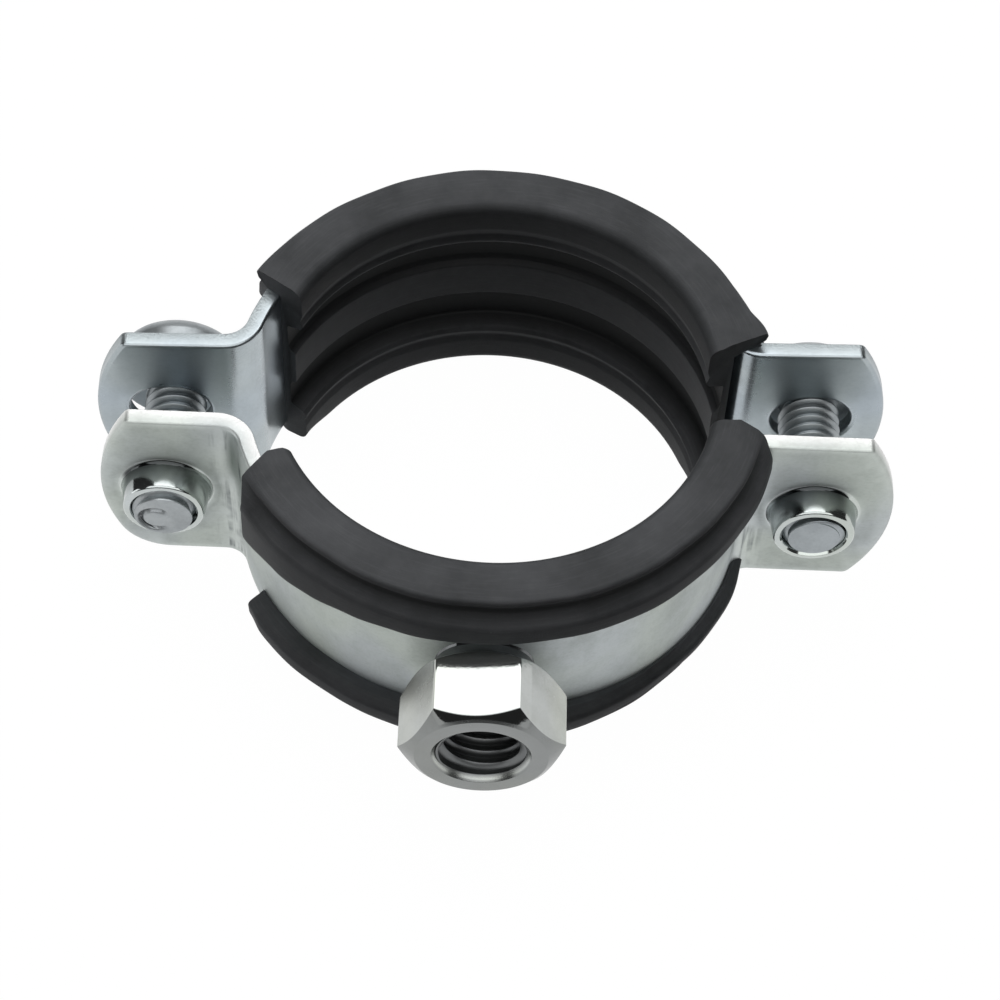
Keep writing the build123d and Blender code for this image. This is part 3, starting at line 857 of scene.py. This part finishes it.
boss = {"flats": 13.0, "turn": 5.2, "back": 26.1, "length": 7.4, "faceRadius": 5.95, "cornerRounding": 0.12,
        "holeRadius": 4.02, "threadCrest": 3.42, "pitch": 1.25, "mouth": 4.5, "neck": 4.4, "bandOuter": 24.2,
        "chamfer": 37.0, "mouthDepth": 0.55, "boltDepth": 1.4, "weldHeight": 0.3, "weldSpread": 0.15, "sunk": 0.1}
bossFinish = {"axisX": 0.0, "cloudSize": 3.5, "lowestRoughness": 0.19, "tarnish": 0.45, "markStrength": 0.4,
              "metal": 0.94,
              # painted shade in the bore, at the weld seat and over the front face and chamfer; burnish only lowers
              # roughness
              "shadeAndBurnish": {"frontY": -boss["back"] - boss["length"], "seatY": -26.0, "boreRadius": 4.15, "bore": 0.88,
                       "boreRoughness": 0.15, "faceRadius": boss["faceRadius"], "chamfer": boss["chamfer"],
                       "seatShade": 0.95, "faceShade": 0.60, "burnished": 0.25, "topSlope": 1.25},
              "tints": {"First Tint": (0.490, 0.510, 0.470, 1), "Second Tint": (0.480, 0.500, 0.490, 1),
                        "Dull Tint": (0.350, 0.365, 0.340, 1)}}
bossZinc = makeTurnedZinc("bossZinc", bossFinish)


def hexRadius(angle):
    half, rounding = boss["flats"] / 2, boss["cornerRounding"]
    sector = (angle - math.radians(boss["turn"])) % (math.pi / 3)
    fromCorner = min(sector, math.pi / 3 - sector)
    fromFlat = math.pi / 6 - fromCorner
    centre = (half - rounding) / math.cos(math.pi / 6)
    if fromFlat < math.atan2((half - rounding) * math.tan(math.pi / 6), half):
        return half / math.cos(fromFlat)
    return centre * math.cos(fromCorner) + math.sqrt(rounding ** 2 - (centre * math.sin(fromCorner)) ** 2)


def bossRing(angle):
    radius = hexRadius(angle)
    front, back = boss["back"] + boss["length"], boss["back"]
    drop = (radius - boss["faceRadius"]) * math.tan(math.radians(boss["chamfer"]))
    seat = math.sqrt(boss["bandOuter"] ** 2 - (boss["neck"] * math.cos(angle)) ** 2) - boss["sunk"]
    points = [(boss["holeRadius"], back - boss["boltDepth"]), (boss["holeRadius"], front - boss["mouthDepth"]),
              (boss["mouth"], front),
              (boss["faceRadius"], front), (radius, front - drop), (radius, back + drop), (boss["faceRadius"], back),
              (boss["neck"], back), (boss["neck"], seat + boss["weldHeight"]),
              (boss["neck"] + boss["weldSpread"], seat)]
    radii = [0, 0.05, 0.06, 0.05, 0.05, 0.15, 0.2, 0.25, 0.25, 0]
    return [(p.x, p.y) for p, normal in roundedPath(points, radii, 4)]


def buildBoss():
    verts, faces = turnedRings(bossRing, 288)
    body = meshFrom("bossBody", verts, faces)
    front = boss["back"] + boss["length"]
    thread = threadMesh("bossThread", 0.0, boss["back"] - 1.0, front - 0.35, boss["holeRadius"], boss["threadCrest"],
                        boss["pitch"], bossZinc, 1.2)
    return finishMetal(joinMeshes("bossNut", [body, thread], bossZinc))


bossNut = buildBoss()
print("boss made:", len(bossNut.data.polygons), "faces")


screw = {"length": 16.0, "core": 2.40, "crest": 2.95, "pitch": 1.0, "headRadius": 6.0, "headRim": 1.9,
         "headHeight": 4.6, "recess": {"wing": 2.6, "half": 0.55, "depth": 2.0, "bottomShare": 0.62},
         "curl": {"x": -0.7, "z": -0.4, "from": 20, "sweep": 300, "radius": 1.2, "grow": 0.45, "width": 0.22,
                  "depth": 0.45}}
leftScrewFinish = {"axisX": -strip["screwX"], "cloudSize": 3.0, "lowestRoughness": 0.31, "tarnish": 0.6,
                   "markStrength": 0.5, "metal": 0.86,
                   "tints": {"First Tint": (0.400, 0.435, 0.455, 1), "Second Tint": (0.430, 0.455, 0.465, 1),
                             "Dull Tint": (0.270, 0.295, 0.310, 1)}}
leftScrewZinc = makeTurnedZinc("leftScrewZinc", leftScrewFinish)
rightScrewZinc = makeTurnedZinc("rightScrewZinc", dict(leftScrewFinish, axisX=strip["screwX"]))
leftScrew = {"axisX": -strip["screwX"], "underHead": 6.9, "pointFlat": 2.7, "phase": 0.9, "curled": True,
             "finish": leftScrewZinc}
rightScrew = {"axisX": strip["screwX"], "underHead": 7.3, "pointFlat": 2.4, "phase": 2.4, "curled": False,
              "finish": rightScrewZinc}


def screwRing(underHead, pointFlat):
    point = screw["length"] - underHead
    head = -underHead
    points = [(pointFlat, point), (max(pointFlat, screw["core"]) + 0.03, point - 0.15), (screw["core"], point - 0.8),
              (screw["core"], head + 1.0), (2.8, head + 0.45), (2.9, head), (screw["headRadius"], head),
              (screw["headRadius"], head - screw["headRim"])]
    radii = [0, 0.1, 0.3, 0.5, 0.3, 0.15, 0.25, 0.5]
    cap = [(0.02 + (pointFlat - 0.02) * k / 20, point) for k in range(20)]
    crown = []
    rise = screw["headHeight"] - screw["headRim"]
    for k in range(1, 15):
        t = math.pi / 2 * k / 14
        crown.append((screw["headRadius"] * math.cos(t) ** 0.92 if k < 14 else 0.02,
                      head - screw["headRim"] - rise * math.sin(t)))
    return cap + [(p.x, p.y) for p, normal in roundedPath(points + crown, radii + [0] * 14, 4)]


def recessCutter(axisX, headTop):
    recess = screw["recess"]
    verts, faces = [], []
    w, h = recess["wing"], recess["half"]
    outline = [(w, -h), (w, h), (h, h), (h, w), (-h, w), (-h, h),
               (-w, h), (-w, -h), (-h, -h), (-h, -w), (h, -w), (h, -h)]
    for depth, share in ((-1.0, 1.1), (recess["depth"], recess["bottomShare"])):
        for x, z in outline:
            verts.append(Vector((axisX + x * share, headTop - depth, z * share)) * mm)
    count = len(outline)
    faces.append(tuple(reversed(range(count))))
    faces.append(tuple(range(count, 2 * count)))
    for k in range(count):
        faces.append((k, (k + 1) % count, count + (k + 1) % count, count + k))
    return meshFrom("recessCutter", verts, faces)


# The thread's start leaves a curled step in the end of the left screw.
def runOutDepth(x, z):
    curl = screw["curl"]
    x, z = x - curl["x"], z - curl["z"]
    spread, angle = math.hypot(x, z), math.degrees(math.atan2(z, x)) % 360
    along = (angle - curl["from"]) / curl["sweep"]
    if not 0 < along < 1:
        return 0.0
    off = (spread - curl["radius"] - curl["grow"] * along) / curl["width"]
    return curl["depth"] * smooth(5 * min(along, 1 - along)) * math.exp(-off ** 2)


def buildScrew(name, settings):
    axisX, underHead, pointFlat = settings["axisX"], settings["underHead"], settings["pointFlat"]
    point = screw["length"] - underHead
    ring = screwRing(underHead, pointFlat)
    verts, faces = turnedRings(lambda angle: ring, 96, axisX, closeFirst=True, closeLast=True)
    if settings["curled"]:
        for vert in verts:
            if vert.y / mm < 0.01 - point:
                vert.y += runOutDepth(vert.x / mm - axisX, vert.z / mm) * mm
    body = linkPiece("screwBody", meshFrom("screwBody", verts, faces), settings["finish"])
    cutter = linkPiece("recessCutter", recessCutter(axisX, underHead + screw["headHeight"]), None)
    cut = body.modifiers.new("recess", "BOOLEAN")
    cut.operation, cut.solver, cut.object = "DIFFERENCE", "EXACT", cutter
    depsgraph = bpy.context.evaluated_depsgraph_get()
    cutBody = bpy.data.meshes.new_from_object(body.evaluated_get(depsgraph), depsgraph=depsgraph)
    thread = threadMesh(name + "Thread", axisX, 0.9 - underHead, point - 0.12, screw["core"], screw["crest"],
                        screw["pitch"], settings["finish"], settings["phase"])
    for vert in thread.vertices:  # the point's chamfer trims the first turn
        x, y, z = vert.co.x / mm - axisX, vert.co.y / mm, vert.co.z / mm
        spread = math.hypot(x, z)
        limit = pointFlat + 0.08 + y + point
        if spread > limit:
            vert.co = Vector((axisX + x * limit / spread, y, z * limit / spread)) * mm
    for piece in (body, cutter):
        bpy.data.objects.remove(piece)
    piece = finishMetal(joinMeshes(name, [cutBody, thread], settings["finish"]))
    # painted shade in the curled groove at the left screw's end, stronger where the groove is deeper
    paintedGrooveShade = piece.data.attributes.new("paintedGrooveShade", "FLOAT", "POINT")
    for vert, level in zip(piece.data.vertices, paintedGrooveShade.data):
        x, depth, z = vert.co.x / mm - axisX, -vert.co.y / mm, vert.co.z / mm
        if settings["curled"] and depth > point - 0.8 and math.hypot(x, z) < pointFlat:
            level.value = 1.6 * runOutDepth(x, z)
    return piece


screwLeft = buildScrew("screwLeftPiece", leftScrew)
screwRight = buildScrew("screwRightPiece", rightScrew)
print("screws made:", len(screwLeft.data.polygons), "and", len(screwRight.data.polygons), "faces")


# Bodies and replaced nodes
for piece, body, node, slot in (
        (stripFront, "front_half", "band_front", "zinc_steel"), (stripRear, "rear_half", "band_rear", "zinc_steel"),
        (liningFront, "front_half", "lining_front", "rubber"), (liningRear, "rear_half", "lining_rear", "rubber"),
        (bossNut, "front_half", "boss_nut", "boss_zinc"), (screwLeft, "screw_left", "screw_left", "screw_zinc"),
        (screwRight, "screw_right", "screw_right", "screw_zinc")):
    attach(piece, body)
    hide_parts(node)
print("pieces placed on their bodies")


# Studio: white floor, a broad lamp overhead, a small one at the left and a dim room. The metal mirrors two cards,
# which light nothing that is matt. Floor height in mm, all else in metres and watts.
studio = {"floorHeight": -12.02, "floorReach": 3.0, "floorColor": (0.22, 0.22, 0.22, 1), "floorShown": 1.10,
          "floorShade": 0.10, "world": 0.04,
          "lamps": [{"name": "topLamp", "place": (0.0, 0.23, 0.58), "aim": (0, 0.06, 0), "size": (0.62, 0.58),
                     "power": 2.7, "card": False},
                    {"name": "frontCard", "place": (0.0, -0.31, 0.41), "aim": (0, 0, 0), "size": (0.90, 0.52),
                     "power": 2.3, "card": True},
                    {"name": "backCard", "place": (0.0, 0.75, 0.12), "aim": (0, 0, 0), "size": (1.20, 0.34),
                     "power": 1.05, "card": True},
                    {"name": "sideLamp", "place": (-0.50, -0.10, 0.03), "aim": (0, 0, 0), "size": (0.30, 0.30),
                     "power": 0.45, "card": False}]}


def makeFloor():
    z, far = studio["floorHeight"] * mm, studio["floorReach"]
    mesh = bpy.data.meshes.new("floor")
    mesh.from_pydata([(-far, -far, z), (far, -far, z), (far, far, z), (-far, far, z)], [], [(0, 1, 2, 3)])
    material = bpy.data.materials.new("floorWhite")
    material.use_nodes = True
    tree = material.node_tree
    tree.nodes.clear()
    rays = addNode(tree, "ShaderNodeLightPath").outputs
    seen = calc(tree, "MAXIMUM", rays["Is Camera Ray"], calc(
        tree, "MAXIMUM", rays["Is Glossy Ray"], rays["Is Transmission Ray"]))
    lit = addNode(tree, "ShaderNodeBsdfDiffuse", {"Color": studio["floorColor"]}).outputs[0]
    plain = addNode(tree, "ShaderNodeEmission", {
        "Color": (1, 1, 1, 1), "Strength": studio["floorShown"]}).outputs[0]
    share = calc(tree, "MULTIPLY", seen, 1 - studio["floorShade"])
    both = addNode(tree, "ShaderNodeMixShader", {0: share, 1: lit, 2: plain}).outputs[0]
    addNode(tree, "ShaderNodeOutputMaterial", {"Surface": both})
    floor = linkPiece("floor", mesh, material)


def makeLamps():
    for lamp in studio["lamps"]:
        light = bpy.data.lights.new(lamp["name"], "AREA")
        light.shape = "RECTANGLE"
        light.size, light.size_y = lamp["size"]
        light.energy = lamp["power"]
        holder = bpy.data.objects.new(lamp["name"], light)
        bpy.context.collection.objects.link(holder)
        holder.location = lamp["place"]
        aim = Vector(lamp["aim"]) - Vector(lamp["place"])
        holder.rotation_euler = aim.to_track_quat("-Z", "Y").to_euler()
        holder.visible_diffuse = not lamp["card"]
    world = bpy.data.worlds.new("room")
    world.use_nodes = True
    sky = world.node_tree.nodes["Background"].inputs
    sky["Color"].default_value = (1.0, 1.0, 1.0, 1)
    sky["Strength"].default_value = studio["world"]
    bpy.context.scene.world = world


# Camera: angles in degrees, distance and aim in mm
camera = {"turn": -1.10, "rise": 54.84, "roll": 3.17, "distance": 259.42, "aim": (0.94, -5.69, 0.0),
          "lens": 99.45, "sensor": 36.0}


def makeCamera():
    turn, rise, roll = (math.radians(camera[k]) for k in ("turn", "rise", "roll"))
    back = Vector((math.sin(turn) * math.cos(rise), -math.cos(turn) * math.cos(rise), math.sin(rise)))
    level = (-back).cross(Vector((0, 0, 1))).normalized()
    upright = level.cross(-back)
    right = level * math.cos(roll) + upright * math.sin(roll)
    up = upright * math.cos(roll) - level * math.sin(roll)
    place = (Vector(camera["aim"]) + back * camera["distance"]) * mm
    data = bpy.data.cameras.new("camera")
    data.lens, data.sensor_width = camera["lens"], camera["sensor"]
    data.clip_start = 0.01
    holder = bpy.data.objects.new("camera", data)
    bpy.context.collection.objects.link(holder)
    rows = [(right[i], up[i], back[i], place[i]) for i in range(3)]
    holder.matrix_world = Matrix(rows + [(0, 0, 0, 1)])
    bpy.context.scene.camera = holder


makeFloor()
makeLamps()
makeCamera()
bpy.context.scene.view_settings.view_transform = "Standard"
print("studio set")
